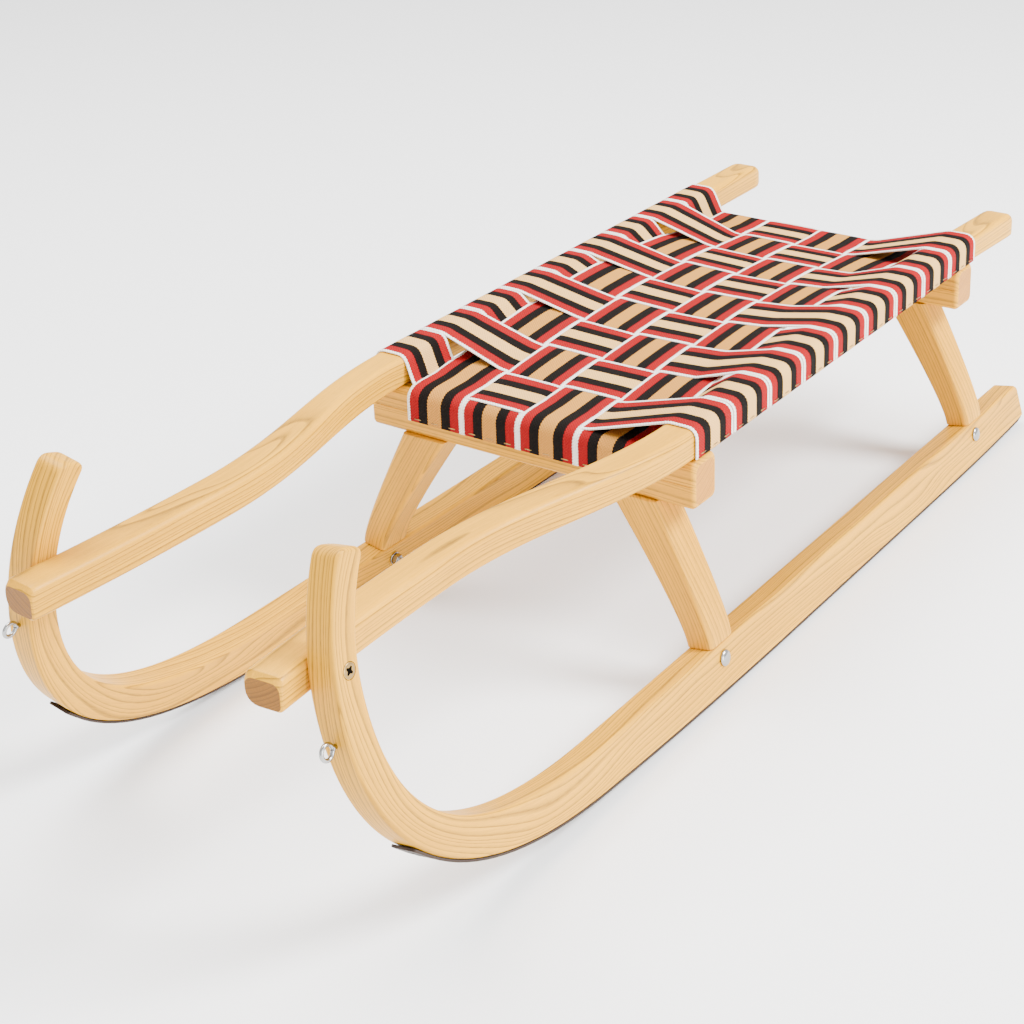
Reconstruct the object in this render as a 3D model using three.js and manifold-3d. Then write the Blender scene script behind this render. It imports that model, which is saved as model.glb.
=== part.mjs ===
// Horned sledge with a woven webbing seat: two bent runners that rise into horns, four splayed legs,
// two laminated crossbars, two bent seat rails and a seat of thirteen webbing straps.
// Millimetres, +Z up. The horns face -Y, the sledge stands on Z = 0, and X = 0 is its plane of symmetry.

import * as THREE from 'three';
import { mergeVertices } from 'three/addons/utils/BufferGeometryUtils.js';
import Module from 'manifold-3d';

const wasm = await Module();
wasm.setup();

// ---- driving dimensions ----

const GAP = 0.3;                       // clearance between touching pieces
const TILT = THREE.MathUtils.degToRad(10); // lean of the runner planes, tops inwards

const LENGTH = 1015;                   // over the seat rails
const RAIL = { width: 28, height: 24, round: 6, endRound: 8, chamfer: 1.8 };
const RAIL_X = { tip: 103.5, waist: 96.6, seat: 134.5, rear: 138 };
const RAIL_Y = { waist: -335, seat: -85 };
const RAIL_HANDLE = 95;                // length of the tangents of the rail's S-bend

const RUNNER = { thick: 22.5, round: 3, midX: 157.8, soleDepth: 39.2 };
const SHOE = { thick: 2, width: 20, leavesAtW: 26, free: 12 };
const SOLE = { flatFront: 10, flatRear: 330, bendY: -244.4, bendDepth: 33.5, rearY: 494, rearDepth: 35.2 };
const REAR_TOP = { y: 487, round: 9 };
const HORN = { frontY: -484.5, frontW: 148, rearY: -461.3, rearW: 157, frontRadius: 181, rearRadius: 137 };
const HORN_TIP = { front: [-460, 244], rear: [-440.5, 236], round: 7 };
const BEND_START = -240.9;             // where the runner's top edge leaves the straight

const CROSSBAR = { halfLength: 152, depth: 33, lamella: 18.8, top: 194, round: 6.5, joint: 0.9, ends: 0.8 };
const CROSSBAR_Y = { front: -79, rear: 388 };

const LEG = { depth: 33, round: 3, innerTopX: 78, outerTopX: 120, innerBowX: 146, outerBowX: 170, bowZ: 58 };
const LEG_Y = { front: -82, rear: 387 };
const BOLT_Y = { front: -83, rear: 384 };
const FOOT_TENON = { thick: 10, width: 18, length: 26 };
const HEAD_TENON = { x: 100, thick: 20, width: 12, length: 12 };

const BOLT = { shank: 2.5, head: 6.5, rim: 0.7, dome: 2.6, depth: 12.5, tail: 8.5 };
const WASHER = { outer: 5.5, thick: 1.2 };
const NUT = { outer: 5, thick: 4.5 };

const HORN_SCREW = { head: 5.2, shank: 2.4, length: 42, w: 170.6, y: -470.3, recess: 4.4, slot: 1 };
const RAIL_SCREW = { head: 4.6, shank: 2.2, length: 52, recess: 0, slot: 0 };
const SHOE_SCREW = { head: 3.4, shank: 1.6, length: 15, recess: 0, slot: 0 };
const SHOE_SCREW_AT = [470, 170, -150, -433]; // distances along the sledge
const EYE = { ring: 4.95, wire: 1.4, shank: 1.6, depth: 24, w: 126, y: -491.3 };

const STRAP = { thick: 1.5, width: 51, pitch: 55, longPitch: 53.8, longShift: -5.6, half: 1 };
const CROSS_STRAPS = 9;
const LONG_STRAPS = 4;
const SEAT = { firstY: -62, base: 196.05, crown: 9.5, flare: 8, edge: 113 };
const BEND_MARGIN = { inside: 0.3, outermost: 0.8 }; // a strap bends this far beyond the one it crosses
const STRAP_END = 169;                 // lower ends of the lengthwise straps, on the crossbars' faces
const CROSS_STRAP_END = 195.5;         // lower ends of the crosswise straps, on the rails' outer faces

const SMALL = 14;                      // facets round a screw, bolt or ring
const ARC = 5;                         // facets in a small rounding

// ---- finishes ----

const ash = new THREE.MeshStandardMaterial({ color: 0xe2c38c, roughness: 0.42, metalness: 0 });
const steel = new THREE.MeshStandardMaterial({ color: 0x4a4440, roughness: 0.5, metalness: 0.9 });
const zinc = new THREE.MeshStandardMaterial({ color: 0xc9ccd0, roughness: 0.3, metalness: 1 });
const brass = new THREE.MeshStandardMaterial({ color: 0xb9a06a, roughness: 0.35, metalness: 1 });
const webbing = new THREE.MeshStandardMaterial({ color: 0xb03a34, roughness: 0.85, metalness: 0 });

// ---- solids ----

function positionsOnly(geometry) {
  const bare = geometry.index ? geometry.clone() : mergeVertices(geometry.clone());
  for (const name of Object.keys(bare.attributes)) {
    if (name !== 'position') bare.deleteAttribute(name);
  }
  const merged = mergeVertices(bare, 1e-4);
  const index = merged.index.array;
  const kept = [];
  for (let i = 0; i < index.length; i += 3) {
    const [a, b, c] = index.slice(i, i + 3);
    if (a !== b && b !== c && c !== a) kept.push(a, b, c);
  }
  merged.setIndex(kept);
  return merged;
}

function toSolid(geometry) {
  const bare = positionsOnly(geometry);
  return new wasm.Manifold(new wasm.Mesh({
    numProp: 3,
    vertProperties: new Float32Array(bare.attributes.position.array),
    triVerts: new Uint32Array(bare.index.array),
  }));
}

function toGeometry(solid) {
  const mesh = solid.getMesh();
  const geometry = new THREE.BufferGeometry();
  geometry.setAttribute('position', new THREE.BufferAttribute(new Float32Array(mesh.vertProperties), 3));
  geometry.setIndex(new THREE.BufferAttribute(new Uint32Array(mesh.triVerts), 1));
  return geometry;
}

function join(base, ...others) {
  return toGeometry(others.reduce((solid, other) => solid.add(toSolid(other)), toSolid(base)));
}

function cut(base, ...tools) {
  return toGeometry(tools.reduce((solid, tool) => solid.subtract(toSolid(tool)), toSolid(base)));
}

function mirrored(geometry) {
  const flipped = positionsOnly(geometry);
  flipped.scale(-1, 1, 1);
  const index = flipped.index.array;
  for (let i = 0; i < index.length; i += 3) {
    [index[i + 1], index[i + 2]] = [index[i + 2], index[i + 1]];
  }
  return flipped;
}

const ALONG_THE_SLEDGE = new THREE.Matrix4().makeBasis(
  new THREE.Vector3(0, 1, 0), new THREE.Vector3(0, 0, 1), new THREE.Vector3(1, 0, 0));

// Extrudes an outline and turns it so that its x runs along +Y, its y along +Z and its depth along X.
function sideways(shape, width, round) {
  const geometry = rounded(shape, width, round);
  return geometry.applyMatrix4(ALONG_THE_SLEDGE);
}

// Extrudes an outline drawn in X and Z along Y.
function lengthwise(shape, width, round) {
  const geometry = rounded(shape, width, round);
  geometry.rotateX(Math.PI / 2);
  return geometry;
}

function rounded(shape, width, round) {
  const geometry = new THREE.ExtrudeGeometry(shape, {
    depth: width - 2 * round,
    bevelEnabled: round > 0,
    bevelThickness: round,
    bevelSize: round,
    bevelOffset: -round,
    bevelSegments: 2,
    curveSegments: ARC,
  });
  geometry.translate(0, 0, round - width / 2);
  return geometry;
}

function rodAlongX(radius, from, to, segments = SMALL) {
  const rod = new THREE.CylinderGeometry(radius, radius, to - from, segments);
  rod.rotateZ(-Math.PI / 2);
  rod.translate((from + to) / 2, 0, 0);
  return rod;
}

// ---- outlines ----

// Points of a line drawn side by side at a distance, to the left of its direction of travel.
function offsetLine(points, distance) {
  return points.map((point, i) => {
    const before = points[Math.max(i - 1, 0)];
    const after = points[Math.min(i + 1, points.length - 1)];
    const into = point.clone().sub(before).normalize();
    const out = after.clone().sub(point).normalize();
    const along = into.add(out).normalize();
    const step = i > 0 && i < points.length - 1 ? distance / Math.max(along.dot(out), 0.5) : distance;
    return new THREE.Vector2(point.x - along.y * step, point.y + along.x * step);
  });
}

// The closed outline of a band of even thickness that follows a line.
function bandShape(points, thickness) {
  const left = offsetLine(points, thickness / 2);
  const right = offsetLine(points, -thickness / 2);
  return new THREE.Shape([...right, ...left.reverse()]);
}

function arcPoints(centre, radius, fromDegrees, toDegrees, steps = ARC) {
  const points = [];
  for (let i = 0; i <= steps; i++) {
    const angle = THREE.MathUtils.degToRad(fromDegrees + (toDegrees - fromDegrees) * i / steps);
    const x = centre[0] + radius * Math.cos(angle);
    const y = centre[1] + radius * Math.sin(angle);
    points.push(new THREE.Vector2(x, y));
  }
  return points;
}

// ---- runner plane ----
// Each runner is bent in one plane.
// In it, y runs along the sledge and w rises from the runner's straight top edge.

const SOLE_LINE = new THREE.Path();
SOLE_LINE.moveTo(SOLE.rearY, -SOLE.rearDepth);
SOLE_LINE.quadraticCurveTo(
  (SOLE.rearY + SOLE.flatRear) / 2, -RUNNER.soleDepth, SOLE.flatRear, -RUNNER.soleDepth);
SOLE_LINE.lineTo(SOLE.flatFront, -RUNNER.soleDepth);
SOLE_LINE.quadraticCurveTo((SOLE.flatFront + SOLE.bendY) / 2, -RUNNER.soleDepth, SOLE.bendY, -SOLE.bendDepth);
SOLE_LINE.bezierCurveTo(SOLE.bendY - 168.8, -SOLE.bendDepth + 6.8, HORN.frontY, HORN.frontW - 105,
  HORN.frontY, HORN.frontW);

function leaningPoint(y, w, radius, atW) {
  return new THREE.Vector2(y + radius - Math.sqrt(radius * radius - (atW - w) ** 2), atW);
}

function runnerOutline() {
  const front = [0.3, 0.55, 0.8].map(
    (part) => leaningPoint(HORN.frontY, HORN.frontW, HORN.frontRadius,
      THREE.MathUtils.lerp(HORN.frontW, HORN_TIP.front[1], part)));
  const rear = [0.75, 0.5, 0.25].map(
    (part) => leaningPoint(HORN.rearY, HORN.rearW, HORN.rearRadius,
      THREE.MathUtils.lerp(HORN.rearW, HORN_TIP.rear[1], part)));
  const topBend = new THREE.CubicBezierCurve(
    new THREE.Vector2(HORN.rearY, HORN.rearW), new THREE.Vector2(HORN.rearY, HORN.rearW - 106.7),
    new THREE.Vector2(BEND_START - 149.2, 0), new THREE.Vector2(BEND_START, 0)).getPoints(18);
  const tipCentre = [HORN_TIP.front[0] + 4, HORN_TIP.front[1] - HORN_TIP.round];
  const tip = arcPoints(tipCentre, HORN_TIP.round, 165, 70, 4)
    .concat(arcPoints([HORN_TIP.rear[0] - HORN_TIP.round, HORN_TIP.rear[1] - HORN_TIP.round],
      HORN_TIP.round, 70, -15, 4));
  const heel = arcPoints([REAR_TOP.y - REAR_TOP.round, -REAR_TOP.round], REAR_TOP.round, 90, 10, 4);
  return new THREE.Shape([...SOLE_LINE.getPoints(18), ...front, ...tip, ...rear, ...topBend, ...heel]);
}

// The line the shoe's middle follows: close under the wood, then straight on for a short way
// where the wood curves up.
function shoeLine() {
  const line = offsetLine(SOLE_LINE.getPoints(18).filter((point) => point.y < SHOE.leavesAtW),
    GAP + SHOE.thick / 2);
  const last = line[line.length - 1];
  const along = last.clone().sub(line[line.length - 2]).normalize();
  return [...line, last.clone().addScaledVector(along, SHOE.free)];
}

// Placement of a screw driven into the wood through the shoe, at a distance along the sledge.
function shoeScrewFrame(y) {
  const line = shoeLine();
  const i = Math.max(line.findIndex((point) => point.x < y), 1);
  const start = line[i - 1];
  const along = line[i].clone().sub(start).normalize();
  const at = start.clone().addScaledVector(along, (y - start.x) / along.x);
  at.add(new THREE.Vector2(-along.y, along.x).multiplyScalar(SHOE.thick / 2));
  return new THREE.Matrix4().makeBasis(
    new THREE.Vector3(0, -along.y, along.x), new THREE.Vector3(0, along.x, along.y),
    new THREE.Vector3(-1, 0, 0)).setPosition(0, at.x, at.y);
}

// From the runner's own directions (outwards, rearwards, up in its plane) to the sledge's.
const RUNNER_TOP = (RUNNER.soleDepth + GAP + SHOE.thick) * Math.cos(TILT) + SHOE.width / 2 * Math.sin(TILT);
const RUNNER_FRAME = new THREE.Matrix4().makeBasis(
  new THREE.Vector3(Math.cos(TILT), 0, Math.sin(TILT)), new THREE.Vector3(0, 1, 0),
  new THREE.Vector3(-Math.sin(TILT), 0, Math.cos(TILT))).setPosition(RUNNER.midX, 0, RUNNER_TOP);

function inRunner(geometry, y = 0, w = 0) {
  return geometry.clone().translate(0, y, w).applyMatrix4(RUNNER_FRAME);
}

// ---- screws and bolts ----
// Each is turned about its own axis: the head's outer face at x = 0, the shank running to -x.

function turned(profile) {
  const geometry = new THREE.LatheGeometry(profile.map(([radius, x]) => new THREE.Vector2(radius, x)), SMALL);
  geometry.rotateZ(-Math.PI / 2);
  return geometry;
}

function countersunkScrew(spec) {
  const neck = spec.shank - spec.head;
  const screw = turned([
    [0, -spec.length], [spec.shank, 2 * spec.shank - spec.length], [spec.shank, neck], [spec.head, 0], [0, 0],
  ]);
  if (!spec.slot) return join(screw);
  const slots = [0, Math.PI / 2].map((turn) => {
    const slot = new THREE.BoxGeometry(2 * spec.slot, spec.recess, spec.slot);
    return slot.rotateX(turn + Math.PI / 4);
  });
  return cut(screw, ...slots);
}

function countersunkHole(spec) {
  const neck = spec.shank - spec.head;
  const shank = spec.shank + GAP;
  const head = spec.head + 2 * GAP;
  return turned([
    [0, -spec.length - GAP], [shank, -spec.length - GAP], [shank, neck - GAP],
    [head, GAP / 2], [head, 8], [0, 8],
  ]);
}

function carriageBolt() {
  const dome = [0, 30, 60, 90].map((degrees) => {
    const angle = THREE.MathUtils.degToRad(degrees);
    return [BOLT.head * Math.cos(angle), GAP + BOLT.rim + BOLT.dome * Math.sin(angle)];
  });
  const end = -RUNNER.thick - BOLT.tail;
  return join(turned([[0, end], [BOLT.shank, end], [BOLT.shank, GAP], [BOLT.head, GAP], ...dome]));
}

function boltHole() {
  return rodAlongX(BOLT.shank + GAP, -2 * RUNNER.thick, RUNNER.thick);
}

function ringPlate(outer, thickness, facets, inFront) {
  const plate = rodAlongX(outer, -inFront - thickness, -inFront, facets);
  return cut(plate, rodAlongX(BOLT.shank + GAP, -inFront - 2 * thickness, thickness));
}

function eyeScrew() {
  const ring = new THREE.TorusGeometry(EYE.ring, EYE.wire, 8, 18);
  ring.rotateY(Math.PI / 2);
  const shank = new THREE.CylinderGeometry(EYE.shank, EYE.shank, EYE.depth, 10);
  shank.translate(0, EYE.ring + EYE.depth / 2, 0);
  return join(ring, shank);
}

function eyeHole() {
  const hole = new THREE.CylinderGeometry(EYE.shank + GAP, EYE.shank + GAP, EYE.depth + GAP, 10);
  return hole.translate(0, EYE.ring + (EYE.depth + GAP) / 2, 0);
}

// ---- right-hand pieces, the left ones are their mirror images ----

const OUTER_FACE = RUNNER.thick / 2;

function placedBolts(make, x) {
  return Object.values(BOLT_Y).map((y) => inRunner(make().translate(x, 0, 0), y, -BOLT.depth));
}

function hornScrewPlace(geometry) {
  return inRunner(geometry.translate(OUTER_FACE, 0, 0), HORN_SCREW.y, HORN_SCREW.w);
}

function eyePlace(geometry) {
  return inRunner(geometry, EYE.y, EYE.w);
}

function shoeScrewPlaces(make) {
  return SHOE_SCREW_AT.map((y) => make().applyMatrix4(shoeScrewFrame(y)).applyMatrix4(RUNNER_FRAME));
}

function railScrewPlaces(make) {
  return Object.values(CROSSBAR_Y).map((y) => {
    const screw = make().rotateY(-Math.PI / 2);
    return screw.translate(railX(y), y, RAIL_TOP - GAP);
  });
}

function runner() {
  const mortises = Object.values(LEG_Y).map((y) => {
    const deep = FOOT_TENON.length + 2 * GAP;
    const box = new THREE.BoxGeometry(FOOT_TENON.thick + 2 * GAP, FOOT_TENON.width + 2 * GAP, deep);
    return inRunner(box, y, GAP - deep / 2);
  });
  return cut(inRunner(sideways(runnerOutline(), RUNNER.thick, RUNNER.round)), ...mortises,
    ...placedBolts(boltHole, 0), hornScrewPlace(countersunkHole(HORN_SCREW)), eyePlace(eyeHole()),
    ...shoeScrewPlaces(() => countersunkHole(SHOE_SCREW)));
}

function shoe() {
  const strip = sideways(bandShape(shoeLine(), SHOE.thick), SHOE.width, 0);
  return cut(inRunner(strip), ...shoeScrewPlaces(() => countersunkHole(SHOE_SCREW)));
}

// ---- seat rails ----

const RAIL_BOTTOM = CROSSBAR.top + GAP;
const RAIL_TOP = RAIL_BOTTOM + RAIL.height;
const RAIL_SLACK = 0.4;                // the rails are not quite straight under the straps

// The rail's middle seen from above, as x against y.
const RAIL_LINE = new THREE.Path();
RAIL_LINE.moveTo(-LENGTH / 2 - RAIL.round, RAIL_X.tip);
RAIL_LINE.quadraticCurveTo((RAIL_Y.waist - LENGTH / 2) / 2, RAIL_X.waist, RAIL_Y.waist, RAIL_X.waist);
RAIL_LINE.bezierCurveTo(RAIL_Y.waist + RAIL_HANDLE, RAIL_X.waist,
  RAIL_Y.seat - RAIL_HANDLE, RAIL_X.seat - 0.4, RAIL_Y.seat, RAIL_X.seat);
RAIL_LINE.lineTo(LENGTH / 2, RAIL_X.rear);

function railX(y) {
  const part = (y - RAIL_Y.seat) / (LENGTH / 2 - RAIL_Y.seat);
  return THREE.MathUtils.lerp(RAIL_X.seat, RAIL_X.rear, part);
}

function railPlan() {
  const line = RAIL_LINE.getPoints(9);
  const left = offsetLine(line, RAIL.width / 2);
  const right = offsetLine(line, -RAIL.width / 2);
  const end = RAIL.endRound;
  const corners = [
    ...arcPoints([right.pop().x - end, RAIL_X.rear - RAIL.width / 2 + end], end, -90, 0, 3),
    ...arcPoints([left.pop().x - end, RAIL_X.rear + RAIL.width / 2 - end], end, 0, 90, 3),
  ];
  return new THREE.Shape([...right, ...corners, ...left.reverse()]);
}

// Slanting blocks that take the edges off the rail's square-cut front end.
function railEndCutters() {
  const saw = new THREE.BoxGeometry(200, 40, 200).translate(RAIL_X.tip, -LENGTH / 2 - 20, RAIL_BOTTOM);
  const middle = RAIL_BOTTOM + RAIL.height / 2;
  const chamfers = [[0, RAIL.height / 2], [Math.PI / 2, RAIL.width / 2],
    [Math.PI, RAIL.height / 2], [-Math.PI / 2, RAIL.width / 2]].map(([turn, reach]) => {
    const block = new THREE.BoxGeometry(120, 20, 20).rotateX(Math.PI / 4);
    const out = 10 * Math.SQRT2 - RAIL.chamfer;
    return block.translate(0, -LENGTH / 2, reach + out).rotateY(turn).translate(RAIL_X.tip, 0, middle);
  });
  return [saw, ...chamfers];
}

function rail() {
  const body = rounded(railPlan(), RAIL.height, RAIL.round);
  body.applyMatrix4(new THREE.Matrix4().makeBasis(
    new THREE.Vector3(0, 1, 0), new THREE.Vector3(1, 0, 0), new THREE.Vector3(0, 0, -1)));
  body.translate(0, 0, RAIL_BOTTOM + RAIL.height / 2);
  return cut(body, ...railEndCutters(), hornScrewPlace(countersunkHole(HORN_SCREW)),
    ...railScrewPlaces(() => countersunkHole(RAIL_SCREW)));
}

// ---- crossbars and legs ----

function panelShape(x0, y0, x1, y1, lowRound, highRound) {
  const shape = new THREE.Shape();
  shape.moveTo(x0 + lowRound, y0);
  shape.lineTo(x1 - lowRound, y0);
  shape.absarc(x1 - lowRound, y0 + lowRound, lowRound, -Math.PI / 2, 0);
  shape.absarc(x1 - highRound, y1 - highRound, highRound, 0, Math.PI / 2);
  shape.absarc(x0 + highRound, y1 - highRound, highRound, Math.PI / 2, Math.PI);
  shape.absarc(x0 + lowRound, y0 + lowRound, lowRound, Math.PI, 1.5 * Math.PI);
  return shape;
}

// The block a leg ends in at its head, or with clearance the mortise that takes it.
function headTenon(y, clearance) {
  const root = 8;                      // depth of the block inside the leg
  const size = [HEAD_TENON.thick, HEAD_TENON.width, HEAD_TENON.length + root];
  const block = new THREE.BoxGeometry(...size.map((side) => side + 2 * clearance));
  return block.translate(HEAD_TENON.x, y, LAMELLA_BOTTOM + (HEAD_TENON.length - root) / 2);
}

const LAMELLA_BOTTOM = CROSSBAR.top - 2 * CROSSBAR.lamella - GAP;

function lamella(y, legY, upper) {
  const half = CROSSBAR.depth / 2;
  const bottom = upper ? CROSSBAR.top - CROSSBAR.lamella : LAMELLA_BOTTOM;
  const [low, high] = upper ? [CROSSBAR.joint, CROSSBAR.round] : [CROSSBAR.round, CROSSBAR.joint];
  const shape = panelShape(y - half, bottom, y + half, bottom + CROSSBAR.lamella, low, high);
  const screws = railScrewPlaces(() => countersunkHole(RAIL_SCREW));
  const cutters = [...screws, ...screws.map(mirrored)];
  if (!upper) {
    const mortise = headTenon(legY, GAP);
    cutters.push(mortise, mirrored(mortise));
  }
  return cut(sideways(shape, 2 * CROSSBAR.halfLength, CROSSBAR.ends), ...cutters);
}

function legShape() {
  const top = LAMELLA_BOTTOM - GAP;
  const foot = OUTER_FACE * Math.sin(TILT);
  const floor = RUNNER_TOP + GAP;
  const reach = OUTER_FACE * Math.cos(TILT);
  const shape = new THREE.Shape();
  shape.moveTo(LEG.innerTopX, top);
  shape.quadraticCurveTo(LEG.innerBowX, LEG.bowZ, RUNNER.midX - reach, floor - foot);
  shape.lineTo(RUNNER.midX + reach, floor + foot);
  shape.quadraticCurveTo(LEG.outerBowX, LEG.bowZ, LEG.outerTopX, top);
  return shape;
}

function leg(y) {
  const tenon = new THREE.BoxGeometry(FOOT_TENON.thick, FOOT_TENON.width, FOOT_TENON.length + 6);
  const body = lengthwise(legShape(), LEG.depth, LEG.round).translate(0, y, 0);
  const joined = join(body, inRunner(tenon, y, 3 + 2 * GAP - FOOT_TENON.length / 2), headTenon(y, 0));
  return cut(joined, ...placedBolts(boltHole, 0));
}

// ---- webbing ----
// Crosswise strap k and lengthwise strap j share one domed mid-surface,
// and lie a little above or below it where they cross.

function seatHeight(x, y) {
  const length = STRAP.pitch * (CROSS_STRAPS - 1);
  const part = THREE.MathUtils.clamp((y - SEAT.firstY) / length, 0, 1);
  const dome = Math.sin(Math.PI * part);
  return SEAT.base + dome * (SEAT.crown + SEAT.flare * (x / SEAT.edge) ** 2);
}

function crossY(k) {
  return SEAT.firstY + STRAP.pitch * k;
}

function longX(j) {
  return STRAP.longShift + STRAP.longPitch * (j - (LONG_STRAPS - 1) / 2);
}

// +1 where crosswise strap k runs over lengthwise strap j, -1 where it runs under it.
function crossIsOver(k, j) {
  return (k + j) % 2 === 1 ? 1 : -1;
}

// Angle in degrees at which a line from a point comes down on to a circle.
function touchAngle(centre, radius, point) {
  const away = point.clone().sub(centre);
  return THREE.MathUtils.radToDeg(away.angle() - Math.acos(Math.min(radius / away.length(), 1)));
}

// From a point of the seat outwards over one or two rounded edges and down to the cut end.
function wrapLine(seatPoint, corners, radius, endZ) {
  const angles = [touchAngle(corners[0], radius, seatPoint), ...corners.slice(1).map(() => 90), 0];
  const line = corners.flatMap(
    (corner, i) => arcPoints([corner.x, corner.y], radius, angles[i], angles[i + 1]));
  line.push(new THREE.Vector2(line[line.length - 1].x, endZ));
  return line;
}

// The middle line of a whole strap. The corners at its start are given as seen from the other side.
function strapLine(seat, startCorners, endCorners, radius, endZ) {
  const flip = (point) => new THREE.Vector2(-point.x, point.y);
  const start = wrapLine(flip(seat[0]), startCorners, radius, endZ).map(flip).reverse();
  return [...start, ...seat, ...wrapLine(seat[seat.length - 1], endCorners, radius, endZ)];
}

// The points at which a strap bends where it passes over or under the straps that cross it.
function seatLine(middles, isOver, height) {
  const half = STRAP.width / 2;
  return middles.flatMap((middle, i) => {
    const before = i === 0 ? BEND_MARGIN.outermost : BEND_MARGIN.inside;
    const after = i === middles.length - 1 ? BEND_MARGIN.outermost : BEND_MARGIN.inside;
    return [middle - half - before, middle, middle + half + after].map(
      (at) => new THREE.Vector2(at, height(at) + isOver(i) * STRAP.half));
  });
}

function strapBand(line) {
  const geometry = new THREE.ExtrudeGeometry(bandShape(line, STRAP.thick), {
    depth: STRAP.width, steps: 2, bevelEnabled: false,
  });
  return geometry.translate(0, 0, -STRAP.width / 2);
}

// Moves a strap up or down so that its whole width follows the domed seat, as its middle line already does.
function followSeat(geometry, middleHeight, isInSeat) {
  const at = geometry.attributes.position;
  for (let i = 0; i < at.count; i++) {
    const x = at.getX(i);
    const y = at.getY(i);
    if (isInSeat(x)) at.setZ(i, at.getZ(i) + seatHeight(x, y) - middleHeight(x, y));
  }
  return geometry;
}

function crossStrap(k) {
  const y = crossY(k);
  const middles = Array.from({ length: LONG_STRAPS }, (_, j) => longX(j));
  const seat = seatLine(middles, (j) => crossIsOver(k, j), (x) => seatHeight(x, y));
  // Where it runs over an outermost lengthwise strap it bridges straight up to the rail.
  const bridged = k === 0 || k === CROSS_STRAPS - 1 ? 2 : 1;
  if (crossIsOver(k, LONG_STRAPS - 1) > 0) seat.splice(-bridged, bridged);
  if (crossIsOver(k, 0) > 0) seat.splice(0, 1);
  const reach = RAIL.width / 2 - RAIL.round;
  const corners = [-reach, reach].map((x) => new THREE.Vector2(railX(y) + x, RAIL_TOP - RAIL.round));
  const radius = RAIL.round + RAIL_SLACK + STRAP.thick / 2;
  const band = strapBand(strapLine(seat, corners, corners, radius, CROSS_STRAP_END));
  band.rotateX(Math.PI / 2).translate(0, y, 0);
  return followSeat(band, (x) => seatHeight(x, y), (x) => Math.abs(x) < SEAT.edge + 2);
}

function longStrap(j) {
  const x = longX(j);
  const middles = Array.from({ length: CROSS_STRAPS }, (_, k) => crossY(k));
  const seat = seatLine(middles, (k) => -crossIsOver(k, j), (y) => seatHeight(x, y));
  const edge = CROSSBAR.depth / 2 - CROSSBAR.round;
  const cornerAt = (y) => [new THREE.Vector2(y + edge, CROSSBAR.top - CROSSBAR.round)];
  const radius = CROSSBAR.round + GAP + STRAP.thick / 2;
  const line = strapLine(seat, cornerAt(-CROSSBAR_Y.front), cornerAt(CROSSBAR_Y.rear), radius, STRAP_END);
  const band = strapBand(line);
  band.applyMatrix4(ALONG_THE_SLEDGE).translate(x, 0, 0);
  return followSeat(band, (_, y) => seatHeight(x, y), () => true);
}

// ---- the sledge ----

const sledge = new THREE.Group();
sledge.name = 'horned_sledge';

function add(name, geometry, material) {
  const mesh = new THREE.Mesh(positionsOnly(geometry), material);
  mesh.geometry.computeVertexNormals();
  mesh.name = name;
  sledge.add(mesh);
}

function addPair(name, geometry, material) {
  add(`${name}_right`, geometry, material);
  add(`${name}_left`, mirrored(geometry), material);
}

addPair('runner', runner(), ash);
addPair('runner_shoe', shoe(), steel);
addPair('seat_rail', rail(), ash);
addPair('horn_screw', hornScrewPlace(countersunkScrew(HORN_SCREW)), brass);
addPair('eye_screw', eyePlace(eyeScrew()), zinc);

shoeScrewPlaces(() => countersunkScrew(SHOE_SCREW)).forEach((screw, i) => {
  addPair(`shoe_screw_${i + 1}`, screw, zinc);
});

const ends = Object.keys(CROSSBAR_Y);
const bolts = placedBolts(carriageBolt, OUTER_FACE);
const washers = placedBolts(() => ringPlate(WASHER.outer, WASHER.thick, SMALL, GAP), -OUTER_FACE);
const nuts = placedBolts(() => ringPlate(NUT.outer, NUT.thick, 6, WASHER.thick + 2 * GAP), -OUTER_FACE);
const railScrews = railScrewPlaces(() => countersunkScrew(RAIL_SCREW));

ends.forEach((end, i) => {
  const y = CROSSBAR_Y[end];
  add(`${end}_crossbar_upper`, lamella(y, LEG_Y[end], true), ash);
  add(`${end}_crossbar_lower`, lamella(y, LEG_Y[end], false), ash);
  addPair(`${end}_leg`, leg(LEG_Y[end]), ash);
  addPair(`${end}_bolt`, bolts[i], zinc);
  addPair(`${end}_bolt_washer`, washers[i], zinc);
  addPair(`${end}_bolt_nut`, nuts[i], zinc);
  addPair(`${end}_rail_screw`, railScrews[i], zinc);
});

for (let k = 0; k < CROSS_STRAPS; k++) {
  add(`webbing_cross_${k + 1}`, crossStrap(k), webbing);
}
for (let j = 0; j < LONG_STRAPS; j++) {
  add(`webbing_long_${j + 1}`, longStrap(j), webbing);
}

export default sledge;
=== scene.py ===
import math

import bmesh
import bpy
from mathutils import Matrix, Vector


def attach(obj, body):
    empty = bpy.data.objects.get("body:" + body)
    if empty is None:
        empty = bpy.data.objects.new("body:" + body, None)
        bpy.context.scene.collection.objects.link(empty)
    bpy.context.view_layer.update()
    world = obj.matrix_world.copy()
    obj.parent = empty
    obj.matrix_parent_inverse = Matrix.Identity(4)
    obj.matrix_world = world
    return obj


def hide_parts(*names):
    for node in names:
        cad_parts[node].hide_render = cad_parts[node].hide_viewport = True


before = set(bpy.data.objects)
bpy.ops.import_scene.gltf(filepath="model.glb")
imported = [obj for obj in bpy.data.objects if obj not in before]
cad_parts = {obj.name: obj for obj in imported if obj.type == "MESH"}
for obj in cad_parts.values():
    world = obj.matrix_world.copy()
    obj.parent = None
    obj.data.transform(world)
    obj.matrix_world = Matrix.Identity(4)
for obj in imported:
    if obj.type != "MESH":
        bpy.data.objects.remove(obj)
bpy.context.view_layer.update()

MM = 0.001


# ---- camera, floor and light ----

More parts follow.
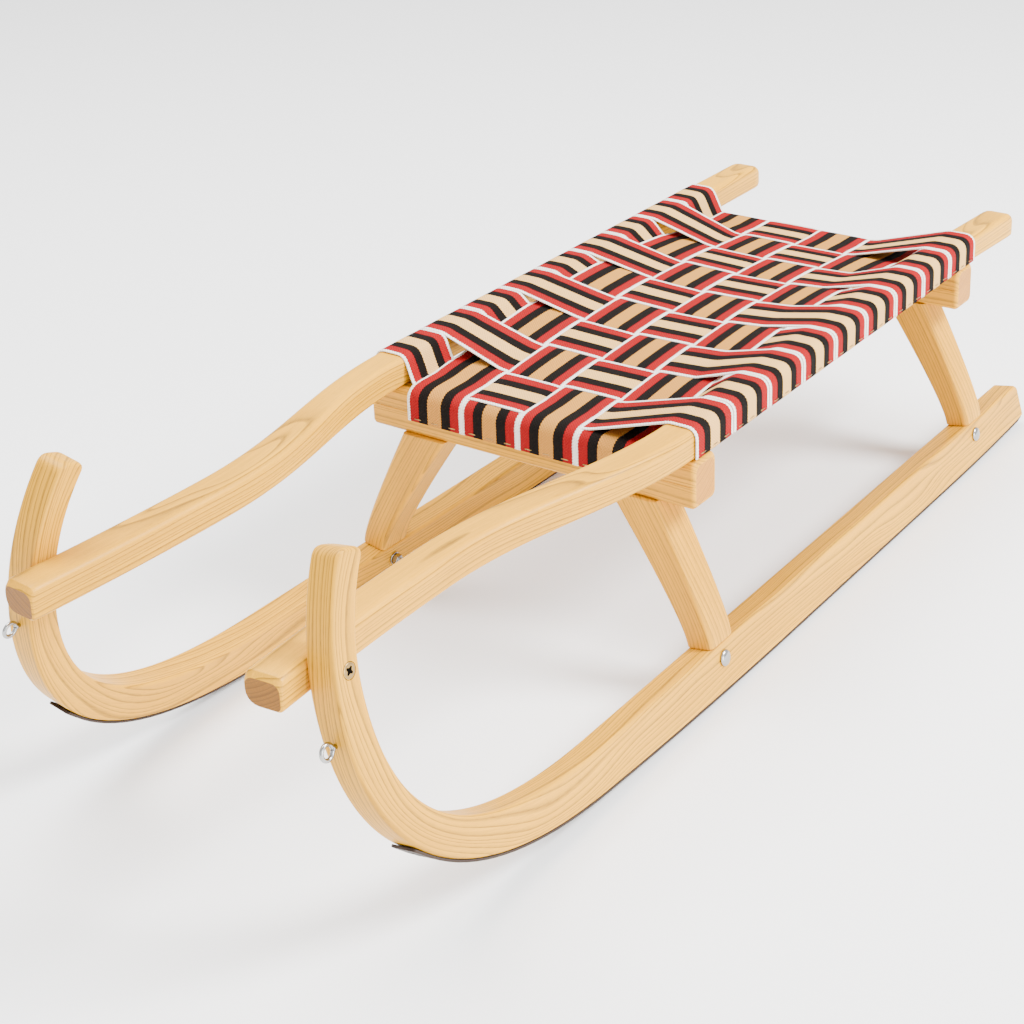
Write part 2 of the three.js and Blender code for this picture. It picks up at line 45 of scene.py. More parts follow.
CAMERA_PLACE = (0.85426, -1.26945, 0.85782)
CAMERA_RIGHT = (0.83698, 0.54695, -0.01766)
CAMERA_UP = (-0.18164, 0.30812, 0.93385)
CAMERA_SENSOR, CAMERA_LENS = 36, 72.78
CAMERA_SHIFT = (-0.0894, -0.2197)

FLOOR_HALF = 12
FLOOR_COLOUR = (0.92, 0.92, 0.92)
SKY_STRENGTH = 1.35
# name, place, the point it faces, diameter in metres, power in watts
LIGHTS = (("key", (2.2, 0.9, 2.3), (0, 0, 0.1), 1.4, 290),
          ("fill", (1.2, -2.4, 1.2), (0, 0, 0.1), 2.0, 14),
          ("side", (2.6, -0.6, 0.5), (0, 0.1, 0.1), 1.4, 60),
          ("top", (-1.0, -0.3, 2.8), (0, 0, 0.1), 2.0, 150))


def make_camera():
    data = bpy.data.cameras.new("camera")
    data.sensor_width = CAMERA_SENSOR
    data.lens = CAMERA_LENS
    data.shift_x, data.shift_y = CAMERA_SHIFT
    camera = bpy.data.objects.new("camera", data)
    right = Vector(CAMERA_RIGHT)
    back = right.cross(Vector(CAMERA_UP)).normalized()
    up = back.cross(right).normalized()
    turn = Matrix((right.normalized(), up, back)).transposed()
    camera.matrix_world = Matrix.Translation(CAMERA_PLACE) @ turn.to_4x4()
    bpy.context.scene.collection.objects.link(camera)
    bpy.context.scene.camera = camera


def plain_material(name, colour, roughness):
    material = bpy.data.materials.new(name)
    material.use_nodes = True
    shader = material.node_tree.nodes["Principled BSDF"]
    shader.inputs["Base Color"].default_value = (*colour, 1)
    shader.inputs["Roughness"].default_value = roughness
    return material


def make_stage():
    size = FLOOR_HALF
    mesh = bpy.data.meshes.new("floor")
    corners = [(-size, -size, 0), (size, -size, 0), (size, size, 0), (-size, size, 0)]
    mesh.from_pydata(corners, [], [(0, 1, 2, 3)])
    floor = bpy.data.objects.new("floor", mesh)
    mesh.materials.append(plain_material("floor_paper", FLOOR_COLOUR, 0.9))
    bpy.context.scene.collection.objects.link(floor)


def add_area_light(name, place, target, size, power):
    data = bpy.data.lights.new(name, "AREA")
    data.shape = "DISK"
    data.size = size
    data.energy = power
    light = bpy.data.objects.new(name, data)
    light.location = place
    light.rotation_mode = "QUATERNION"
    light.rotation_quaternion = (Vector(target) - Vector(place)).to_track_quat("-Z", "Y")
    bpy.context.scene.collection.objects.link(light)


def make_light():
    world = bpy.data.worlds.new("studio")
    world.use_nodes = True
    sky = world.node_tree.nodes["Background"]
    sky.inputs["Color"].default_value = (1, 1, 1, 1)
    sky.inputs["Strength"].default_value = SKY_STRENGTH
    bpy.context.scene.world = world
    for light in LIGHTS:
        add_area_light(*light)


make_camera()
make_stage()
make_light()


# ---- node helpers ----

class Nodes:
    """Shorthand for building one material's nodes."""

    def __init__(self, name):
        self.material = bpy.data.materials.new(name)
        self.material.use_nodes = True
        self.tree = self.material.node_tree
        self.shader = self.tree.nodes["Principled BSDF"]

    def add(self, kind, inputs=(), **settings):
        node = self.tree.nodes.new(kind)
        for key, value in settings.items():
            setattr(node, key, value)
        for key, value in dict(inputs).items():
            self.feed(node.inputs[key], value)
        return node

    def feed(self, socket, value):
        if isinstance(value, bpy.types.NodeSocket):
            self.tree.links.new(value, socket)
        else:
            socket.default_value = value

    def math(self, operation, first, second=0.0, third=0.0):
        node = self.add("ShaderNodeMath", operation=operation)
        for socket, value in zip(node.inputs, (first, second, third)):
            self.feed(socket, value)
        return node.outputs[0]

    def attribute(self, name):
        vector = self.add("ShaderNodeAttribute", attribute_name=name).outputs["Vector"]
        return self.add("ShaderNodeSeparateXYZ", {0: vector}).outputs

    def vector(self, x, y, z=0.0):
        return self.add("ShaderNodeCombineXYZ", {0: x, 1: y, 2: z}).outputs[0]

    def scaled(self, places, factors):
        """The coordinates, each times its own factor, as one vector."""
        return self.vector(*(self.math("MULTIPLY", *pair) for pair in zip(places, factors)))

    def noise(self, vector, scale, detail=2.0, roughness=0.5):
        node = self.add("ShaderNodeTexNoise", {
            "Vector": vector, "Scale": scale, "Detail": detail, "Roughness": roughness})
        return node.outputs["Fac"]

    def ramp(self, factor, stops, interpolation="LINEAR"):
        node = self.add("ShaderNodeValToRGB", {"Fac": factor})
        node.color_ramp.interpolation = interpolation
        elements = node.color_ramp.elements
        while len(elements) < len(stops):
            elements.new(0.5)
        for element, (place, colour) in zip(elements, stops):
            element.position = place
            element.color = (*colour, 1) if hasattr(colour, "__len__") else (colour,) * 3 + (1,)
        return node.outputs["Color"]

    def mix(self, factor, first, second, blend="MIX"):
        node = self.add("ShaderNodeMix", data_type="RGBA", blend_type=blend)
        self.feed(node.inputs[0], factor)
        self.feed(node.inputs[6], first)
        self.feed(node.inputs[7], second)
        return node.outputs[2]

    def bump(self, height, strength, distance):
        node = self.add("ShaderNodeBump", {
            "Height": height, "Strength": strength, "Distance": distance})
        self.feed(self.shader.inputs["Normal"], node.outputs["Normal"])

    def surface(self, **values):
        for key, value in values.items():
            self.feed(self.shader.inputs[key.replace("_", " ")], value)
        return self.material


# ---- wood ----

HEARTWOOD = (0.13, 0.062, 0.004)
SAPWOOD = (0.58, 0.262, 0.004)
PALE = (0.77, 0.375, 0.010)
# waves a metre, along the grain, across it and up
DRIFT_WAVES, FIBRE_WAVES = (2.4, 14, 14), (16, 700, 700)
PORE_WAVES, CLOUD_WAVES = (160, 3800, 3800), (7, 30, 30)


def wood(name, pith, ring, wander, tint=(1, 1, 1), line=0.9):
    """Ash, seen in the straightened piece's own directions: along, across and up.
    pith is where the rings' middle lies, ring their spacing, wander how far they drift, all in metres."""
    n = Nodes(name)
    places = n.attribute("grain")
    _, across, up = places
    slow = n.noise(n.scaled(places, DRIFT_WAVES), 1.6, 1.5)
    drift = n.math("MULTIPLY", n.math("SUBTRACT", slow, 0.5), wander)
    x = n.math("SUBTRACT", across, pith[0])
    z = n.math("SUBTRACT", up, pith[1])
    radius = n.math("SQRT", n.math("ADD", n.math("POWER", x, 2), n.math("POWER", z, 2)))
    radius = n.math("ADD", radius, drift)
    spread = n.noise(n.vector(n.math("MULTIPLY", radius, 160), 0.3), 1.0, 2)
    rings = n.math("FRACT", n.math("ADD", n.math("DIVIDE", radius, ring), n.math("MULTIPLY", spread, 3.4)))
    band = n.ramp(rings, [(0.0, 0.0), (0.50, 0.10), (0.74, 0.45), (0.88, 1.0), (0.96, 0.6), (1.0, 0.0)])
    streaks = n.noise(n.scaled(places, FIBRE_WAVES), 1.0, 3, 0.6)
    pores = n.noise(n.scaled(places, PORE_WAVES), 1.0, 1, 0.5)
    pores = n.ramp(pores, [(0.54, 0.0), (0.68, 1.0)])
    clouds = n.noise(n.scaled(places, CLOUD_WAVES), 1.0, 2)
    colour = n.mix(clouds, SAPWOOD + (1,), PALE + (1,))
    fleck = n.ramp(streaks, [(0.30, 0.0), (0.72, 1.0)])
    darkness = n.math("MULTIPLY", band, n.math("MULTIPLY_ADD", fleck, 0.55, 0.45))
    colour = n.mix(n.math("MULTIPLY", darkness, line), colour, HEARTWOOD + (1,))
    pore_share = n.math("MULTIPLY", pores, n.math("MULTIPLY_ADD", band, 0.45, 0.12))
    colour = n.mix(pore_share, colour, tuple(c * 0.6 for c in HEARTWOOD) + (1,))
    fibre = n.math("MULTIPLY_ADD", streaks, 0.56, 0.72)
    colour = n.mix(1.0, colour, n.vector(fibre, fibre, fibre), "MULTIPLY")
    colour = n.mix(1.0, colour, tint + (1,), "MULTIPLY")
    relief = n.math("ADD", n.math("MULTIPLY", band, -0.5), n.math("MULTIPLY", pores, -0.6))
    n.bump(relief, 0.12, 0.0004)
    rough = n.math("MULTIPLY_ADD", streaks, 0.16, 0.34)
    n.surface(Base_Color=colour, Roughness=rough, Coat_Weight=0.05, Coat_Roughness=0.2)
    n.shader.inputs["Specular IOR Level"].default_value = 0.16
    return n.material


# name, pith, ring spacing, wander, tint and the growth lines' darkness
RUNNER_WOOD = wood("runner_ash", (-0.050, 0.030), 0.0027, 0.032)
RAIL_WOOD = wood("rail_ash", (0.006, -0.07), 0.0032, 0.022)
LEG_WOOD = wood("leg_ash", (-0.08, -0.09), 0.0028, 0.010, (1, 0.98, 0.94), 0.7)
BAR_WOOD = wood("crossbar_ash", (0.05, 0.10), 0.0030, 0.012, (1, 0.97, 0.92), 0.7)
END_GRAIN = wood("end_grain", (-0.03, 0.05), 0.0026, 0.002, (0.37, 0.30, 0.5), 0.6)
BAR_END = wood("crossbar_end_grain", (-0.03, 0.05), 0.0024, 0.002, (0.74, 0.62, 1.0), 0.5)


# ---- metal ----

def metal(name, colour, roughness, scratch, metallic=1.0):
    n = Nodes(name)
    place = n.add("ShaderNodeTexCoord").outputs["Object"]
    fine = n.noise(place, 900, 3)
    broad = n.noise(place, 60, 2)
    dull = tuple(c * 0.72 for c in colour)
    n.bump(fine, scratch, 0.0002)
    rough = n.math("MULTIPLY_ADD", broad, 0.25, roughness - 0.1)
    return n.surface(Base_Color=n.mix(broad, dull + (1,), colour + (1,)), Roughness=rough,
                     Metallic=metallic)


STEEL = metal("dark_steel", (0.055, 0.038, 0.03), 0.5, 0.3, 0.85)
ZINC = metal("bright_zinc", (0.42, 0.42, 0.41), 0.2, 0.06)
BRASS = metal("yellow_zinc", (0.34, 0.215, 0.075), 0.30, 0.1)
RECESS_PAINTED_SHADE = plain_material("screw_recess_painted_shade", (0.004, 0.003, 0.002), 0.8)  # near-black painted shade for a cross recess's hollow and for the gap round a screw head
RECESS_PAINTED_SHADE.node_tree.nodes["Principled BSDF"].inputs["Specular IOR Level"].default_value = 0.0


# ---- mesh helpers ----

def finish_piece(name, bm, materials, replaced):
    """Turns a mesh into a named piece of the sledge that stands for the nodes it replaces."""
    bmesh.ops.recalc_face_normals(bm, faces=bm.faces)
    for face in bm.faces:
        face.smooth = True
    mesh = bpy.data.meshes.new(name)
    bm.to_mesh(mesh)
    bm.free()
    for material in materials:
        mesh.materials.append(material)
    piece = bpy.data.objects.new(name, mesh)
    bpy.context.scene.collection.objects.link(piece)
    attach(piece, "root")
    if replaced:
        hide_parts(*replaced)
    return piece


def end_inset(distance, reach, depth=None):
    """How far a rounded end draws in at a distance from its tip: depth at the tip, nothing past reach."""
    if distance >= reach:
        return 0.0
    return (depth or reach) * (1 - math.sqrt(1 - (1 - distance / reach) ** 2))


def rounded_section(low, high, half, radii, steps=5):
    """A rounded rectangle as (up, across) points. radii run low/out, high/out, high/in, low/in."""
    room = min((high - low) / 2, half) * 0.98
    corners = ((low, half, 180), (high, half, 90), (high, -half, 0), (low, -half, 270))
    points = []
    for (up, across, start), radius in zip(corners, radii):
        radius = max(min(radius, room), 0.02)
        centre_up = up + radius if up == low else up - radius
        centre_across = across - radius if across > 0 else across + radius
        for i in range(steps + 1):
            angle = math.radians(start - 90 * i / steps)
            points.append((centre_up + radius * math.cos(angle),
                           centre_across + radius * math.sin(angle)))
    return points


def loft(name, stations, radii, materials, replaced, offset=0.0, steps=5, sharp_ends=False):
    """Skins a row of stations, in millimetres: (low point, high point, across direction, half width,
    insets). insets are (low, high, across). The end faces take the second material.
    offset moves the grain along, so that no two pieces show the same part of it."""
    bm = bmesh.new()
    grain = bm.verts.layers.float_vector.new("grain")
    rings = []
    along = 0.0
    before = None
    for low, high, across, half, insets in stations:
        middle = (low + high) / 2
        rise = (high - low).normalized()
        reach = (high - low).length / 2
        along += (middle - before).length if before else 0.0
        before = middle
        section = rounded_section(-reach + insets[0], reach - insets[1], half - insets[2], radii, steps)
        ring = []
        for up, out in section:
            vertex = bm.verts.new((middle + rise * up + across * out) * MM)
            vertex[grain] = ((along + offset) * MM, out * MM, up * MM)
            ring.append(vertex)
        rings.append(ring)
    count = len(rings[0])
    for first, second in zip(rings, rings[1:]):
        for i in range(count):
            j = (i + 1) % count
            bm.faces.new((first[i], first[j], second[j], second[i]))
    for ring in (rings[0], rings[-1]):
        cap = bm.faces.new(ring)
        cap.material_index = 1 if len(materials) > 1 else 0
        if sharp_ends:
            for edge in cap.edges:
                edge.smooth = False
    piece = finish_piece(name, bm, materials, replaced)
    even = piece.modifiers.new("even_normals", "WEIGHTED_NORMAL")
    even.keep_sharp = True
    return piece


def spaced(length, ends, step):
    """Distances along a piece: close together within the rounded ends, then evenly."""
    fine = [ends * (1 - math.cos(math.radians(a))) for a in range(0, 91, 15)] if ends else [0.0]
    count = max(int((length - 2 * ends) / step), 1)
    plain = [ends + (length - 2 * ends) * i / count for i in range(1, count)]
    last = [length - d for d in reversed(fine)]
    return fine + plain + last


def at_distance(line, distance):
    """The points carried at a distance along a line, blended between its two nearest entries."""
    for (start, a), (end, b) in zip(line, line[1:]):
        if distance <= end:
            part = (distance - start) / max(end - start, 1e-9)
            return tuple(p.lerp(q, part) for p, q in zip(a, b))
    return line[-1][1]


def measured(pairs):
    """Pairs of points with the length of their middle line up to them."""
    line, along, before = [], 0.0, None
    for pair in pairs:
        middle = (pair[0] + pair[1]) / 2
        along += (middle - before).length if before else 0.0
        before = middle
        line.append((along, pair))
    return line


def bezier(points, t):
    """The point at share t of the curve that a row of control points draws."""
    while len(points) > 1:
        points = [p.lerp(q, t) for p, q in zip(points, points[1:])]
    return points[0]


def tube(bm, points, radius, sides=12):
    """Sweeps a round wire along a line of points."""
    rings = []
    normal = None
    for i, point in enumerate(points):
        along = (points[min(i + 1, len(points) - 1)] - points[max(i - 1, 0)]).normalized()
        if normal is None:
            normal = along.orthogonal().normalized()
        normal = (normal - along * normal.dot(along)).normalized()
        side = along.cross(normal)
        ring = []
        for k in range(sides):
            angle = 2 * math.pi * k / sides
            spoke = normal * radius * math.cos(angle) + side * radius * math.sin(angle)
            ring.append(bm.verts.new((point + spoke) * MM))
        rings.append(ring)
    for first, second in zip(rings, rings[1:]):
        for k in range(sides):
            j = (k + 1) % sides
            bm.faces.new((first[k], first[j], second[j], second[k]))
    for ring in (rings[0], rings[-1]):
        bm.faces.new(ring)


def turned(bm, profile, place, sides=40, material=0):
    """Turns a profile of (radius, height) about its axis, then sets it in place."""
    rings = []
    for radius, height in profile:
        if radius == 0:
            rings.append([bm.verts.new(place @ (Vector((0, 0, height)) * MM))])
            continue
        ring = []
        for k in range(sides):
            angle = 2 * math.pi * k / sides
            point = Vector((radius * math.cos(angle), radius * math.sin(angle), height))
            ring.append(bm.verts.new(place @ (point * MM)))
        rings.append(ring)
    for first, second in zip(rings, rings[1:]):
        for k in range(sides):
            j = (k + 1) % sides
            corners = [first[k % len(first)], first[j % len(first)],
                       second[j % len(second)], second[k % len(second)]]
            corners = list(dict.fromkeys(corners))
            face = bm.faces.new(corners)
            face.material_index = material


# ---- the sledge's dimensions, in millimetres ----

TILT = math.radians(10)
GAP = 0.3
RUNNER_MID_X = 157.8
RUNNER_THICK = 22.5
SHOE_THICK, SHOE_WIDTH = 2.0, 20.0
SOLE_DEPTH = 39.2
RUNNER_TOP = (SOLE_DEPTH + GAP + SHOE_THICK) * math.cos(TILT) + SHOE_WIDTH / 2 * math.sin(TILT)
RAIL_WIDTH, RAIL_HEIGHT = 28.0, 24.0
BAR_TOP, LAMELLA, BAR_DEPTH, BAR_REACH = 194.0, 18.8, 33.0, 152.0
BAR_Y = {"front": -79.0, "rear": 388.0}
LEG_Y = {"front": -82.0, "rear": 387.0}
BOLT_Y = {"front": -83.0, "rear": 384.0}
BOLT_W = -12.5
SIDES = {"right": 1, "left": -1}


def in_runner(side, y, w, out=0.0):
    """A point of a runner: y along the sledge, w up in the runner's plane, out from its middle."""
    x = RUNNER_MID_X - w * math.sin(TILT) + out * math.cos(TILT)
    return Vector((side * x, y, RUNNER_TOP + w * math.cos(TILT) + out * math.sin(TILT)))


def outwards(side):
    """Square to a runner's outer face."""
    return Vector((side * math.cos(TILT), 0, math.sin(TILT)))


# ---- runners ----

def v2(y, w):
    """A point of the runner's own plane: y along the sledge, w up from the top of its straight part."""
    return Vector((y, w, 0))


SOLE_FRONT_Y, SOLE_REAR_Y, SOLE_END_Y = 10, 330, 494        # the sole is straight between the first two
SOLE_END_DEPTH = 35.2
BEND_Y, BEND_DEPTH, TOP_BEND_Y = -244.4, 33.5, -240.9
TOP_END_Y = 487
HORN_Y = {"sole": -484.5, "top": -461.3}
HORN_W = {"sole": 148, "top": 157}
HORN_LEAN = {"sole": 181, "top": 137}                       # radii of the horn's backward lean
HORN_RISE = {"sole": 96, "top": 79}
BEND_HANDLE = {"sole": v2(-168.8, 6.8), "top": v2(-149.2, 0)}
HORN_HANDLE = {"sole": v2(0, -105), "top": v2(0, -106.7)}
STRAIGHT_STEPS, BEND_STEPS, HORN_STEPS = 60, 48, 20


def sole_depth(y):
    """The sole under the runner's top: level in the middle, rising a little to the rear and the bend."""
    if y > SOLE_REAR_Y:
        t = (SOLE_END_Y - y) / (SOLE_END_Y - SOLE_REAR_Y)
        return -SOLE_END_DEPTH * (1 - t) ** 2 - SOLE_DEPTH * (1 - (1 - t) ** 2)
    if y > SOLE_FRONT_Y:
        return -SOLE_DEPTH
    t = (SOLE_FRONT_Y - y) / (SOLE_FRONT_Y - BEND_Y)
    return -SOLE_DEPTH * (1 - t ** 2) - BEND_DEPTH * t ** 2


def bend(edge, start):
    """Control points of the bend from the straight part up to the horn."""
    end = v2(HORN_Y[edge], HORN_W[edge])
    return [start, start + BEND_HANDLE[edge], end + HORN_HANDLE[edge], end]


SOLE_BEND = bend("sole", v2(BEND_Y, -BEND_DEPTH))
TOP_BEND = bend("top", v2(TOP_BEND_Y, 0))


def leaning(edge, share):
    """A point of the horn's lean, which is an arc, at a share of its rise."""
    radius = HORN_LEAN[edge]
    rise = HORN_RISE[edge] * share
    return v2(HORN_Y[edge] + radius - math.sqrt(radius ** 2 - rise ** 2), HORN_W[edge] + rise)


def runner_pairs():
    """Points of the sole and of the top edge, from the rear end to the horn's tip."""
    pairs = []
    for i in range(STRAIGHT_STEPS):
        t = i / STRAIGHT_STEPS
        y_low = SOLE_END_Y + (BEND_Y - SOLE_END_Y) * t
        y_high = TOP_END_Y + (TOP_BEND_Y - TOP_END_Y) * t
        pairs.append((v2(y_low, sole_depth(y_low)), v2(y_high, 0)))
    for i in range(BEND_STEPS):
        t = i / BEND_STEPS
        pairs.append((bezier(SOLE_BEND, t), bezier(TOP_BEND, t)))
    for i in range(HORN_STEPS + 1):
        t = i / HORN_STEPS
        pairs.append((leaning("sole", t), leaning("top", t)))
    return measured(pairs)


RUNNER_TAIL = {"sole": 2, "top": 8, "sides": 2.5}           # how far the rear end is rounded over
RUNNER_TIP = {"edges": 7, "sides": 3}
RUNNER_RADII = (2.6, 3, 3, 2.6)
RUNNER_STEP = 7
RUNNER_GRAIN = {"right": 900, "left": 5200}


def make_runner(word, side):
    line = runner_pairs()
    length = line[-1][0]
    stations = []
    for distance in spaced(length, RUNNER_TAIL["top"], RUNNER_STEP):
        low, high = at_distance(line, distance)
        tip = length - distance
        edges = end_inset(tip, RUNNER_TIP["edges"])
        insets = (max(end_inset(distance, RUNNER_TAIL["sole"]), edges),
                  max(end_inset(distance, RUNNER_TAIL["top"]), edges),
                  max(end_inset(distance, RUNNER_TAIL["sides"]), end_inset(tip, RUNNER_TIP["sides"])))
        stations.append((in_runner(side, low.x, low.y), in_runner(side, high.x, high.y),
                         outwards(side), RUNNER_THICK / 2, insets))
    loft(f"visual_runner_{word}", stations, RUNNER_RADII, [RUNNER_WOOD],
         [f"runner_{word}"], offset=RUNNER_GRAIN[word])


SHOE_STEP, SHOE_STRAIGHT_POINTS = 12, 62
SHOE_BEND_SHARE, SHOE_BEND_STEPS = 0.545, 19                # how far up the bend the shoe follows the sole
SHOE_FREE_STEP, SHOE_FREE_STEPS = 4, 3                      # its tip stands off the wood
SHOE_ROUND, SHOE_EASE = 1.6, 0.1
SHOE_RADII = (0.5, 0.3, 0.3, 0.5)


def make_shoe(word, side):
    """A steel strip under the sole, from the rear end to its free tip in front of the bend."""
    straight = [SOLE_END_Y - SHOE_STEP * i for i in range(SHOE_STRAIGHT_POINTS)]
    points = [v2(y, sole_depth(y)) for y in straight]
    points += [bezier(SOLE_BEND, SHOE_BEND_SHARE * i / SHOE_BEND_STEPS)
               for i in range(SHOE_BEND_STEPS + 1)]
    ahead = (points[-1] - points[-2]).normalized()
    points += [points[-1] + ahead * SHOE_FREE_STEP * i for i in range(1, SHOE_FREE_STEPS + 1)]
    stations = []
    for i, point in enumerate(points):
        along = (points[min(i + 1, len(points) - 1)] - points[max(i - 1, 0)]).normalized()
        down = v2(-along.y, along.x)
        top = point + down * GAP * 0.5
        bottom = point + down * (GAP + SHOE_THICK)
        inset = SHOE_ROUND if i in (0, len(points) - 1) else 0.0
        stations.append((in_runner(side, bottom.x, bottom.y), in_runner(side, top.x, top.y),
                         outwards(side), SHOE_WIDTH / 2, (SHOE_EASE, SHOE_EASE, inset)))
    loft(f"visual_runner_shoe_{word}", stations, SHOE_RADII, [STEEL],
         [f"runner_shoe_{word}"], steps=2)


# ---- seat rails ----

RAIL_BOTTOM = BAR_TOP + GAP
RAIL_TOP = RAIL_BOTTOM + RAIL_HEIGHT
RAIL_FRONT = Vector((103.5, -507.5, 0))
RAIL_WAIST = Vector((96.6, -335, 0))
RAIL_SEAT = Vector((134.5, -85, 0))
RAIL_REAR = Vector((138, 507.5, 0))
RAIL_HANDLE = Vector((0, 95, 0))                            # tangents of the S-bend between waist and seat
RAIL_FRONT_CURVE = [RAIL_FRONT, Vector((96.6, -423, 0)), RAIL_WAIST]
RAIL_BEND = [RAIL_WAIST, RAIL_WAIST + RAIL_HANDLE, Vector((134.1, -180, 0)), RAIL_SEAT]
RAIL_STEPS = {"front": 16, "bend": 30, "seat": 40}
RAIL_TAIL = {"bottom": (12, 8), "top": (24, 15), "sides": (16, 13.5)}   # (reach, depth) of the rounded end
RAIL_EDGES = {"right": (3.5, 6, 6, 11), "left": (11, 6, 6, 3.5)}
RAIL_GRAIN = {"right": 2600, "left": 7300}
RAIL_STEP, RAIL_FRONT_STATIONS = 7, {1, 2.8}
RAIL_CHAMFER, RAIL_CRESCENT = 1.2, 4.5                      # at the front end: all round, and on top
RIGHT_SAG, SAG_START_Y = 0.04, 405                          # the right rail droops a little behind the seat


def rail_plan():
    """The rail's middle seen from above, as (x, y)."""
    front = [bezier(RAIL_FRONT_CURVE, i / RAIL_STEPS["front"]) for i in range(RAIL_STEPS["front"])]
    bend = [bezier(RAIL_BEND, i / RAIL_STEPS["bend"]) for i in range(RAIL_STEPS["bend"])]
    seat = [RAIL_SEAT.lerp(RAIL_REAR, i / RAIL_STEPS["seat"]) for i in range(RAIL_STEPS["seat"] + 1)]
    return front + bend + seat


def rail_x(y):
    """The middle of a rail beside the seat, where it runs straight."""
    return RAIL_SEAT.x + (RAIL_REAR.x - RAIL_SEAT.x) * (y - RAIL_SEAT.y) / (RAIL_REAR.y - RAIL_SEAT.y)


def make_rail(word, side):
    line = measured([(p, p) for p in rail_plan()])
    length = line[-1][0]
    stations = []
    for distance in sorted({*RAIL_FRONT_STATIONS, *spaced(length, RAIL_TAIL["top"][0], RAIL_STEP)}):
        point = at_distance(line, distance)[0]
        behind = at_distance(line, max(distance - 4, 0))[0]
        ahead = (at_distance(line, min(distance + 4, length))[0] - behind).normalized()
        across = Vector((side * ahead.y, -ahead.x, 0))
        tail = length - distance
        front = max(RAIL_CHAMFER - distance, 0)
        crescent = max(RAIL_CRESCENT - distance * 1.2, 0)
        insets = (max(front, end_inset(tail, *RAIL_TAIL["bottom"])),
                  max(crescent, end_inset(tail, *RAIL_TAIL["top"])),
                  max(front, end_inset(tail, *RAIL_TAIL["sides"])))
        sag = RIGHT_SAG * max(point.y - SAG_START_Y, 0) if side > 0 else 0
        low = Vector((side * point.x, point.y, RAIL_BOTTOM - sag))
        high = Vector((side * point.x, point.y, RAIL_TOP - sag))
        stations.append((low, high, across, RAIL_WIDTH / 2, insets))
    loft(f"visual_seat_rail_{word}", stations, RAIL_EDGES[word], [RAIL_WOOD, END_GRAIN],
         [f"seat_rail_{word}"], offset=RAIL_GRAIN[word], sharp_ends=True)


# ---- crossbars and legs ----

BAR_BOTTOM = BAR_TOP - 2 * LAMELLA - GAP
BAR_ROUND, BAR_LOW_ROUND, BAR_JOINT = 6.5, 4.5, 0.5
BAR_END_ROUND, BAR_STEP = 3.5, 10
LEG_DEPTH = 33.0
LEG_INNER = {"top": 78, "bow": 146}                         # x of the inner edge's top and control point
LEG_OUTER = {"top": 120, "bow": 170}
LEG_BOW_Z = 58
LEG_STEPS, LEG_STEP = 30, 5
LEG_FOOT_ROUND = 1.6
LEG_RADII = (4, 4.5, 4.5, 4)


def make_lamella(end, upper):
    y = BAR_Y[end]
    bottom = BAR_TOP - LAMELLA if upper else BAR_BOTTOM
    top = bottom + LAMELLA + (0 if upper else GAP * 0.7)
    if upper:
        radii = (BAR_JOINT, BAR_ROUND, BAR_ROUND, BAR_JOINT)
    else:
        radii = (BAR_LOW_ROUND, BAR_JOINT, BAR_JOINT, BAR_LOW_ROUND)
    across = Vector((0, 1, 0))
    stations = []
    for distance in spaced(2 * BAR_REACH, 4, BAR_STEP):
        close = min(distance, 2 * BAR_REACH - distance)
        outer = end_inset(close, BAR_END_ROUND)
        insets = (0, outer, outer) if upper else (outer, 0, outer)
        x = distance - BAR_REACH
        stations.append((Vector((x, y, bottom)), Vector((x, y, top)), across, BAR_DEPTH / 2, insets))
    word = "upper" if upper else "lower"
    loft(f"visual_{end}_crossbar_{word}", stations, radii, [BAR_WOOD, BAR_END],
         [f"{end}_crossbar_{word}"], offset=3000 + 700 * y + (0 if upper else 950))


def leg_edge(edge, reach):
    """An edge of a leg: from the crossbar, bowed, to the runner's top at a reach from its middle."""
    foot_x = RUNNER_MID_X + reach * math.cos(TILT)
    foot_z = RUNNER_TOP + reach * math.sin(TILT)
    return [Vector((edge["top"], 0, BAR_BOTTOM)), Vector((edge["bow"], 0, LEG_BOW_Z)),
            Vector((foot_x, 0, foot_z))]


def make_leg(end, word, side):
    y = LEG_Y[end]
    inner = leg_edge(LEG_INNER, -RUNNER_THICK / 2)
    outer = leg_edge(LEG_OUTER, RUNNER_THICK / 2)
    shares = [i / LEG_STEPS for i in range(LEG_STEPS + 1)]
    line = measured([(bezier(inner, share), bezier(outer, share)) for share in shares])
    length = line[-1][0]
    stations = []
    for distance in spaced(length, 2, LEG_STEP):
        low, high = (Vector((side * p.x, y, p.z)) for p in at_distance(line, distance))
        foot = end_inset(length - distance, LEG_FOOT_ROUND)
        stations.append((low, high, Vector((0, 1, 0)), LEG_DEPTH / 2, (foot, foot, foot)))
    offset = 1000 * (3 if side > 0 else 8) + 13 * y
    loft(f"visual_{end}_leg_{word}", stations, LEG_RADII, [LEG_WOOD],
         [f"{end}_leg_{word}"], offset=offset)


for word, side in SIDES.items():
    make_runner(word, side)
    make_shoe(word, side)
    make_rail(word, side)
    for end in LEG_Y:
        make_leg(end, word, side)
for end in BAR_Y:
    make_lamella(end, True)
    make_lamella(end, False)


# ---- webbing ----

